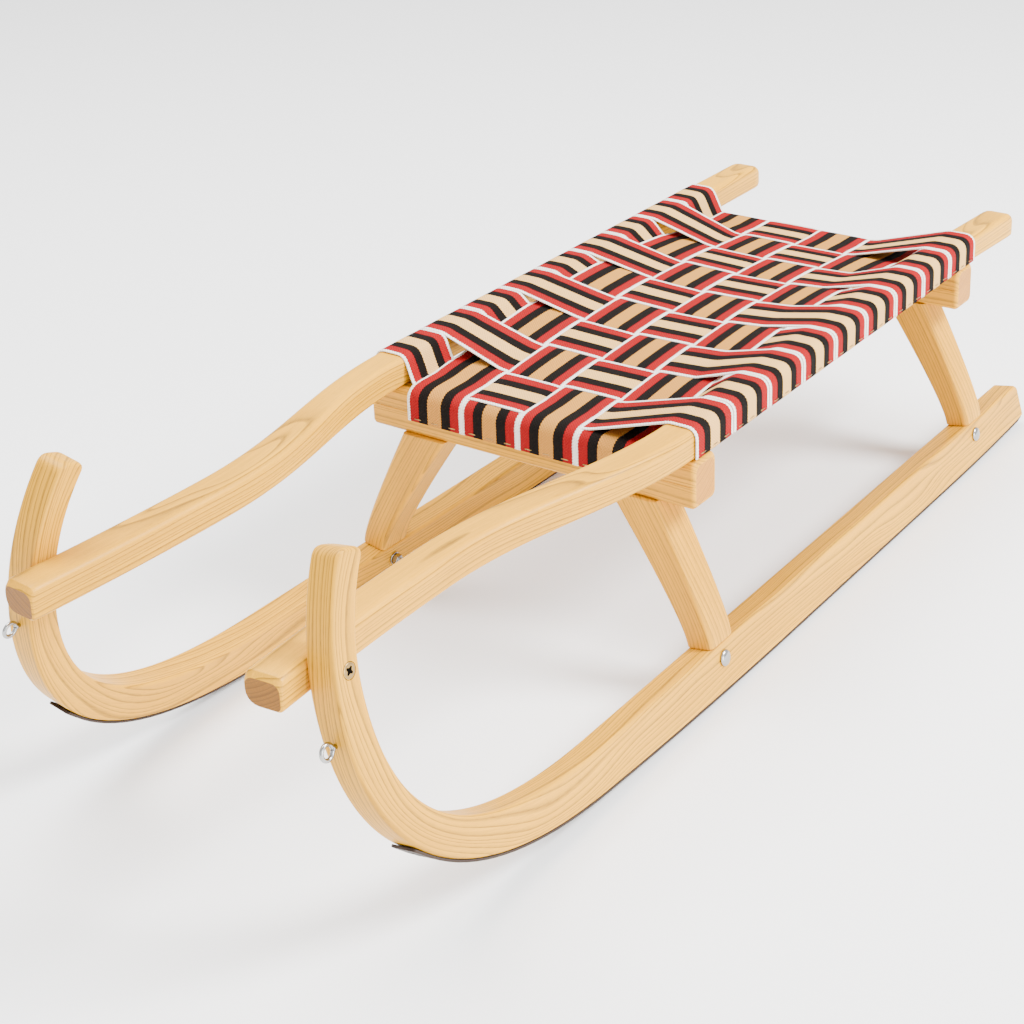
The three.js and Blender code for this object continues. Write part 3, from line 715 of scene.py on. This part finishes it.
STRAP_WIDTH, STRAP_THICK = 54.4, 1.5
CROSS_STRAPS, LONG_STRAPS = 9, 4
FIRST_Y, PITCH = -62.0, 55.0
LONG_SHIFT, LONG_PITCH = -5.6, 53.8
SEAT_LENGTH = PITCH * (CROSS_STRAPS - 1)
LONG_END, CROSS_END = 169.0, 195.5                          # heights of the straps' cut ends
SEAT_BASE, SEAT_CROWN, SEAT_FLARE, SEAT_EDGE = 196.05, 9.5, 8, 113
WEAVE_HEIGHT, WEAVE_SOFTNESS = 0.85, 0.07
STRAP_STEP, STRAP_SOFTENING = 1.8, 3
CROSS_STEPS, LONG_STEPS, TURN_STEPS = 130, 290, 8
STRAP_CORD, STRAP_EDGE, STRAP_PILLOW = 1.7, 0.95, 0.12
# Shares of the outermost lengthwise strap that crosswise ones bridge on their way to a rail.
BRIDGED = {"left": 0.85, "right": 0.35, "end": 0.88}


def seat_height(x, y):
    """The middle of the woven seat: level at both ends, domed between, higher towards the rails."""
    part = min(max((y - FIRST_Y) / SEAT_LENGTH, 0), 1)
    dome = SEAT_CROWN + SEAT_FLARE * (x / SEAT_EDGE) ** 2
    return SEAT_BASE + math.sin(math.pi * part) * dome


def cross_y(k):
    return FIRST_Y + PITCH * k


def long_x(j):
    return LONG_SHIFT + LONG_PITCH * (j - (LONG_STRAPS - 1) / 2)


def is_over(k, j):
    """1 where crosswise strap k passes over lengthwise strap j, -1 where it passes under."""
    return 1 if (k + j) % 2 == 1 else -1


def weave_lift(at, first, pitch, first_over):
    """Height of a strap's middle over the seat's, as it passes over and under the ones across it."""
    wave = math.cos(math.pi * (at - first) / pitch)
    return first_over * WEAVE_HEIGHT * wave / math.sqrt(wave ** 2 + WEAVE_SOFTNESS)


def touch_angle(centre, radius, point):
    """Where on a circle the straight line from a point touches it."""
    away = point - centre
    turn = math.atan2(away.y, away.x) % (2 * math.pi)
    return turn - math.acos(min(radius / away.length, 1))


def around(corners, radius, point, end_z):
    """From a point of the seat over one or two rounded edges and down to the cut end, as (across, z)."""
    angles = [touch_angle(corners[0], radius, point)] + [math.pi / 2] * (len(corners) - 1) + [0]
    line = []
    for corner, start, stop in zip(corners, angles, angles[1:]):
        for i in range(TURN_STEPS + 1):
            angle = start + (stop - start) * i / TURN_STEPS
            line.append(corner + Vector((math.cos(angle), math.sin(angle))) * radius)
    return line + [Vector((line[-1].x, end_z))]


def even_line(points):
    """The same line with points at even steps and its bends softened."""
    line, along = [(0.0, (points[0],))], 0.0
    for before, point in zip(points, points[1:]):
        along += (point - before).length
        line.append((along, (point,)))
    count = round(along / STRAP_STEP)
    even = [at_distance(line, along * i / count)[0] for i in range(count + 1)]
    for _ in range(STRAP_SOFTENING):
        inner = [(a + b * 2 + c) / 4 for a, b, c in zip(even, even[1:], even[2:])]
        even = [even[0]] + inner + [even[-1]]
    return even


def strap_section():
    """The strap's outline, as (up, across): pillowed in the middle with a round cord along each edge."""
    half = STRAP_WIDTH / 2
    top = []
    for i in range(13):
        share = 1 - i / 6
        pillow = STRAP_PILLOW * math.cos(math.pi * share / 2)
        top.append((STRAP_THICK / 2 + pillow, (half - STRAP_CORD) * share))
    right = []
    for angle in (0, 30, 60, 90):
        turn = math.radians(angle)
        right.append((STRAP_EDGE * math.sin(turn), half - STRAP_EDGE + STRAP_EDGE * math.cos(turn)))
    left = [(up, -across) for up, across in reversed(right)]
    flat = half - STRAP_EDGE
    bottom = [(-STRAP_THICK / 2, -flat + 2 * flat * i / 6) for i in range(7)]
    return right + top + left + bottom


def make_strap(name, points, material, place_point):
    """A strap along a line of (along, z) points; place_point turns (along, across, z) into a place."""
    line = even_line(points)
    bm = bmesh.new()
    weave = bm.verts.layers.float_vector.new("weave")
    section = strap_section()
    rings, along = [], 0.0
    for i, point in enumerate(line):
        ahead = (line[min(i + 1, len(line) - 1)] - line[max(i - 1, 0)]).normalized()
        rise = Vector((-ahead.y, ahead.x))
        along += (point - line[i - 1]).length if i else 0.0
        ring = []
        for up, across in section:
            at = point + rise * up
            vertex = bm.verts.new(place_point(at.x, across, at.y) * MM)
            vertex[weave] = (along * MM, across * MM, 0)
            ring.append(vertex)
        rings.append(ring)
    count = len(section)
    for first, second in zip(rings, rings[1:]):
        for i in range(count):
            j = (i + 1) % count
            bm.faces.new((first[i], first[j], second[j], second[i]))
    for ring in (rings[0], rings[-1]):
        bm.faces.new(ring)
    strap = finish_piece(f"visual_{name}", bm, [material], [name])
    return line


STAPLE_PLACES = (-17, 0, 17)
STAPLE_HALF, STAPLE_LEG, STAPLE_BEND, STAPLE_WIRE = 3.2, 1.4, 0.5, 0.42
STAPLE_PROUD, STAPLE_ABOVE_END = 0.25, 2.6


def add_staples(name, places):
    """places are (middle, along the crown, inwards)."""
    bm = bmesh.new()
    for middle, along, inwards in places:
        foot = inwards * STAPLE_LEG
        ends = [middle - along * STAPLE_HALF, middle + along * STAPLE_HALF]
        points = [ends[0] + foot, ends[0] + inwards * STAPLE_BEND, ends[0] + along * STAPLE_BEND,
                  ends[1] - along * STAPLE_BEND, ends[1] + inwards * STAPLE_BEND, ends[1] + foot]
        tube(bm, points, STAPLE_WIRE, 8)
    finish_piece(name, bm, [BRASS], [])


RAIL_CORNER, RAIL_CORNER_X = 6, 8                           # the rail's rounded edges, under the straps
RAIL_CLEAR, BAR_CLEAR = 0.4, 0.3                            # between wood and webbing


def mirrored_turn(corners, radius, point, end_z):
    """The turn over the edge at a strap's first end, from the cut end up to its first seat point."""
    other = Vector((-point.x, point.y))
    return [Vector((-p.x, p.y)) for p in reversed(around(corners, radius, other, end_z))]


def make_cross_strap(k):
    y = cross_y(k)
    first, last = long_x(0) - LONG_PITCH / 2, long_x(LONG_STRAPS - 1) + LONG_PITCH / 2
    if is_over(k, LONG_STRAPS - 1) > 0:
        last -= LONG_PITCH * (BRIDGED["end"] if k in (0, CROSS_STRAPS - 1) else BRIDGED["right"])
    if is_over(k, 0) > 0:
        first += LONG_PITCH * BRIDGED["left"]
    seat = []
    for i in range(CROSS_STEPS + 1):
        x = first + (last - first) * i / CROSS_STEPS
        lift = weave_lift(x, long_x(0), LONG_PITCH, is_over(k, 0))
        seat.append(Vector((x, seat_height(x, y) + lift)))
    radius = RAIL_CORNER + RAIL_CLEAR + STRAP_THICK / 2
    corners = [Vector((rail_x(y) + x, RAIL_TOP - RAIL_CORNER)) for x in (-RAIL_CORNER_X, RAIL_CORNER_X)]
    line = mirrored_turn(corners, radius, seat[0], CROSS_END) + seat
    line += around(corners, radius, seat[-1], CROSS_END)

    def place(x, across, z):
        """Follows the seat's slope, which fades out towards the rail."""
        end = last if x > 0 else -first
        inner = rail_x(y) - RAIL_CORNER_X
        share = min(max((inner - abs(x)) / (inner - end), 0), 1)
        near = min(abs(x), end)
        follow = seat_height(near, y + across) - seat_height(near, y)
        return Vector((x, y + across, z + follow * share))

    made = make_strap(f"webbing_cross_{k + 1}", line, WEBBING_ACROSS_PAINTED_SHEEN, place)
    places = []
    for end, side in ((made[0], -1), (made[-1], 1)):
        x = end.x + side * (STRAP_THICK / 2 + STAPLE_PROUD)
        for across in STAPLE_PLACES:
            middle = Vector((x, y + across, CROSS_END + STAPLE_ABOVE_END))
            places.append((middle, Vector((0, 1, 0)), Vector((-side, 0, 0))))
    add_staples(f"staples_cross_{k + 1}", places)


def make_long_strap(j):
    x = long_x(j)
    first, last = cross_y(0) - PITCH / 2, cross_y(CROSS_STRAPS - 1) + PITCH / 2
    seat = []
    for i in range(LONG_STEPS + 1):
        y = first + (last - first) * i / LONG_STEPS
        lift = weave_lift(y, cross_y(0), PITCH, -is_over(0, j))
        seat.append(Vector((y, seat_height(x, y) + lift)))
    radius = BAR_ROUND + BAR_CLEAR + STRAP_THICK / 2
    edge = BAR_DEPTH / 2 - BAR_ROUND
    front = [Vector((-BAR_Y["front"] + edge, BAR_TOP - BAR_ROUND))]
    rear = [Vector((BAR_Y["rear"] + edge, BAR_TOP - BAR_ROUND))]
    line = mirrored_turn(front, radius, seat[0], LONG_END) + seat
    line += around(rear, radius, seat[-1], LONG_END)

    def place(y, across, z):
        """Follows the seat's slope between the first crosswise strap and the last."""
        inside = FIRST_Y < y < FIRST_Y + SEAT_LENGTH
        follow = seat_height(x - across, y) - seat_height(x, y) if inside else 0
        return Vector((x - across, y, z + follow))

    made = make_strap(f"webbing_long_{j + 1}", line, WEBBING_ALONG_PAINTED_SHADE, place)
    places = []
    for end, side in ((made[0], -1), (made[-1], 1)):
        y = end.x + side * (STRAP_THICK / 2 + STAPLE_PROUD)
        for across in STAPLE_PLACES:
            middle = Vector((x + across, y, LONG_END + STAPLE_ABOVE_END))
            places.append((middle, Vector((1, 0, 0)), Vector((0, -side, 0))))
    add_staples(f"staples_long_{j + 1}", places)


WHITE = (0.93, 0.88, 0.80)
RED = (0.31, 0.006, 0.008)
BLACK = (0.006, 0.004, 0.003)
# One beige yarn, lit two ways: lighter on the crosswise straps as painted sheen, darker on the lengthwise
# straps as painted shade.
BEIGE_ACROSS_PAINTED_SHEEN = (0.80, 0.46, 0.15)
BEIGE_ALONG_PAINTED_SHADE = (0.56, 0.25, 0.045)
EDGE_WAVES, FUZZ_WAVES = (90, 30), (2600, 2600)             # waves a metre, along the strap and across
BEAD, YARN = 0.0024, 0.0013                                 # a bead's length and a yarn's width, in metres
# where black, red and white begin, as shares of the way from the middle to the edge
BLACK_FROM, RED_FROM, WHITE_FROM = 0.245, 0.575, 0.892


def make_webbing(name, beige):
    """Ribbed yarns in mirrored stripes: beige in the middle, then black, red and a white edge."""
    n = Nodes(name)
    along, across, _ = n.attribute("weave")
    places = (along, across)
    scallop = n.math("SINE", n.math("MULTIPLY", along, 2 * math.pi / BEAD))
    drift = n.math("SUBTRACT", n.noise(n.scaled(places, EDGE_WAVES), 1.0), 0.5)
    edge = n.math("ADD", n.math("MULTIPLY", scallop, 0.011), n.math("MULTIPLY", drift, 0.03))
    share = n.math("MULTIPLY", n.math("ABSOLUTE", across), 2 / (STRAP_WIDTH * MM))
    stripes = [(0.0, beige), (BLACK_FROM, BLACK), (RED_FROM, RED), (WHITE_FROM, WHITE)]
    colour = n.ramp(n.math("ADD", share, edge), stripes, "CONSTANT")
    row = n.math("DIVIDE", across, YARN)
    shift = n.math("MULTIPLY", n.math("FLOOR", row), 0.5)
    rib = n.math("ADD", n.math("DIVIDE", along, BEAD), shift)
    bead = n.math("ABSOLUTE", n.math("SINE", n.math("MULTIPLY", rib, math.pi)))
    yarn = n.math("ABSOLUTE", n.math("SINE", n.math("MULTIPLY", row, math.pi)))
    height = n.math("MULTIPLY", n.math("POWER", bead, 0.6), n.math("POWER", yarn, 0.5))
    fuzz = n.noise(n.scaled(places, FUZZ_WAVES), 1.0, 2)
    shade = n.math("ADD", n.math("MULTIPLY_ADD", height, 0.5, 0.5), n.math("MULTIPLY", fuzz, 0.14))
    colour = n.mix(1.0, colour, n.vector(shade, shade, shade), "MULTIPLY")
    n.bump(height, 0.7, 0.0007)
    n.surface(Base_Color=colour, Roughness=0.82)
    n.shader.inputs["Specular IOR Level"].default_value = 0.08
    return n.material


# Two copies of one webbing: painted sheen on the crosswise straps, painted shade on the lengthwise ones.
WEBBING_ACROSS_PAINTED_SHEEN = make_webbing("webbing_crosswise_painted_sheen", BEIGE_ACROSS_PAINTED_SHEEN)
WEBBING_ALONG_PAINTED_SHADE = make_webbing("webbing_lengthwise_painted_shade", BEIGE_ALONG_PAINTED_SHADE)

for k in range(CROSS_STRAPS):
    make_cross_strap(k)
for j in range(LONG_STRAPS):
    make_long_strap(j)


# ---- hardware ----

def placed(origin, axis):
    """Turns the Z axis of a turned part on to axis, at origin in millimetres."""
    turn = axis.normalized().to_track_quat("Z", "Y").to_matrix().to_4x4()
    return Matrix.Translation(origin * MM) @ turn


BOLT_HEAD, BOLT_DOME, BOLT_SHANK, BOLT_END = 6.5, 2.6, 2.5, -31
# profiles of turned parts, as (radius, height over the face they sit on)
BOLT_BODY = [(0, BOLT_END), (2.1, BOLT_END), (BOLT_SHANK, BOLT_END + 0.6), (BOLT_SHANK, GAP), (6.3, GAP),
             (BOLT_HEAD, 0.5)]
WASHER = [(2.8, 0.3), (5.3, 0.3), (5.5, 0.5), (5.5, 1.3), (5.3, 1.5), (2.8, 1.5), (2.8, 0.3)]
NUT = [(2.7, 1.8), (4.5, 1.8), (5.0, 2.2), (5.0, 5.7), (4.5, 6.2), (2.7, 6.2), (2.7, 1.8)]


def make_zinc(name, profile, place, sides=40):
    bm = bmesh.new()
    turned(bm, profile, place, sides)
    return finish_piece(f"visual_{name}", bm, [ZINC], [name])


def make_bolt(end, word, side):
    """A domed carriage bolt through the runner, with its washer and nut on the inner side."""
    face = in_runner(side, BOLT_Y[end], BOLT_W, RUNNER_THICK / 2)
    inner = placed(in_runner(side, BOLT_Y[end], BOLT_W, -RUNNER_THICK / 2), -outwards(side))
    dome = []
    for angle in range(6, 90, 7):
        turn = math.radians(angle)
        dome.append((BOLT_HEAD * math.cos(turn), 1.0 + BOLT_DOME * math.sin(turn)))
    profile = BOLT_BODY + dome + [(0, 1.0 + BOLT_DOME)]
    make_zinc(f"{end}_bolt_{word}", profile, placed(face, outwards(side)))
    make_zinc(f"{end}_bolt_washer_{word}", WASHER, inner)
    nut = make_zinc(f"{end}_bolt_nut_{word}", NUT, inner, sides=6)
    for polygon in nut.data.polygons:
        polygon.use_smooth = False


def cross_outline(head):
    """The outline of a cross recess: four arms, narrowing outwards."""
    arm, half = head * 0.6, head * 0.16
    outline = []
    for quarter in range(4):
        angle = math.radians(45 + 90 * quarter)
        ahead = Vector((math.cos(angle), math.sin(angle), 0))
        aside = Vector((-math.sin(angle), math.cos(angle), 0))
        outline += [ahead * half * 1.5 - aside * half * 1.5, ahead * arm - aside * half * 0.7,
                    ahead * arm + aside * half * 0.7]
    return outline


def make_screw(node, origin, axis, size, materials):
    """A countersunk screw with a cross recess. size is the head's and shank's radius and the length."""
    head, shank, length = size
    bm = bmesh.new()
    profile = [(0, -length), (shank, 2 * shank - length), (shank, shank - head), (head, -0.25),
               (head - 0.2, 0.03), (head * 0.62, 0.12), (head * 0.52, 0.14), (0, 0.14)]
    place = placed(origin, axis)
    turned(bm, profile, place, 48)
    # A near-black ring round the head: painted shade for the gap between the head and its hole.
    gap_shade_ring = [(head + 0.1, -0.4), (head + 0.55, -0.4), (head + 0.5, 0.04), (head + 0.1, 0.04),
           (head + 0.1, -0.4)]
    turned(bm, gap_shade_ring, place, 48, material=1)
    # The cross recess is a near-black patch on the head: painted shade in its hollow.
    outline = cross_outline(head)
    top = [bm.verts.new(place @ (Vector((p.x, p.y, 0.2)) * MM)) for p in outline]
    low = [bm.verts.new(place @ (Vector((p.x * 0.8, p.y * 0.8, 0.05)) * MM)) for p in outline]
    for i in range(len(top)):
        j = (i + 1) % len(top)
        bm.faces.new((top[i], top[j], low[j], low[i])).material_index = 1
    bm.faces.new(top).material_index = 1
    bm.faces.new(low).material_index = 1
    piece = finish_piece(f"visual_{node}", bm, materials, [node])
    for polygon in piece.data.polygons:
        polygon.use_smooth = polygon.material_index == 0


EYE_Y, EYE_W = -491.3, 126
EYE_RING, EYE_WIRE = 4.95, 1.45
EYE_OPENING, EYE_STEPS = 8, 43                              # the ring's ends meet the shank this far apart
EYE_COLLAR = [(0, 0), (1.6, 0.0), (1.9, 0.4), (1.9, 1.3), (1.65, 1.7), (1.65, 22), (0, 24)]


def make_eye(word, side):
    """The ring stands upright, edge-on to the horn, on a shank that goes into it."""
    centre = in_runner(side, EYE_Y, EYE_W)
    up = in_runner(side, 0, 1) - in_runner(side, 0, 0)
    ahead = Vector((0, 1, 0))
    points = [centre + ahead * EYE_RING]
    for i in range(1, EYE_STEPS + 1):
        angle = math.radians(EYE_OPENING + (360 - 2 * EYE_OPENING) * i / EYE_STEPS)
        points.append(centre + (ahead * math.cos(angle) + up * math.sin(angle)) * EYE_RING)
    bm = bmesh.new()
    tube(bm, points, EYE_WIRE, 16)
    turned(bm, EYE_COLLAR, placed(centre + ahead * 4.6, ahead), 24)
    finish_piece(f"visual_eye_screw_{word}", bm, [ZINC], [f"eye_screw_{word}"])


def shoe_screw_place(y):
    """Where a shoe's screw goes in and which way it faces, in the runner's plane."""
    if y > -240:
        ahead = (v2(y - 1, sole_depth(y - 1)) - v2(y + 1, sole_depth(y + 1))).normalized()
        point = v2(y, sole_depth(y))
    else:
        t = min(range(200), key=lambda i: abs(bezier(SOLE_BEND, i / 200).x - y)) / 200
        point = bezier(SOLE_BEND, t)
        ahead = (bezier(SOLE_BEND, t + 0.01) - bezier(SOLE_BEND, t - 0.01)).normalized()
    down = v2(-ahead.y, ahead.x)
    return point + down * (GAP + SHOE_THICK), down


# head radius, shank radius and length
HORN_SCREW = (5.2, 2.4, 42)
SHOE_SCREW = (3.4, 1.6, 15)
RAIL_SCREW = (4.6, 2.2, 52)
HORN_SCREW_Y, HORN_SCREW_W = -470.3, 170.6
SHOE_SCREW_Y = (470, 170, -150, -433)

for word, side in SIDES.items():
    for end in BOLT_Y:
        make_bolt(end, word, side)
    make_eye(word, side)
    horn = in_runner(side, HORN_SCREW_Y, HORN_SCREW_W, RUNNER_THICK / 2)
    make_screw(f"horn_screw_{word}", horn, outwards(side), HORN_SCREW, [BRASS, RECESS_PAINTED_SHADE])
    for i, y in enumerate(SHOE_SCREW_Y):
        point, down = shoe_screw_place(y)
        axis = in_runner(side, down.x, down.y) - in_runner(side, 0, 0)
        make_screw(f"shoe_screw_{i + 1}_{word}", in_runner(side, point.x, point.y), axis, SHOE_SCREW,
                   [ZINC, RECESS_PAINTED_SHADE])
    for end, y in BAR_Y.items():
        top = Vector((side * rail_x(y), y, RAIL_TOP - GAP))
        make_screw(f"{end}_rail_screw_{word}", top, Vector((0, 0, 1)), RAIL_SCREW, [ZINC, RECESS_PAINTED_SHADE])
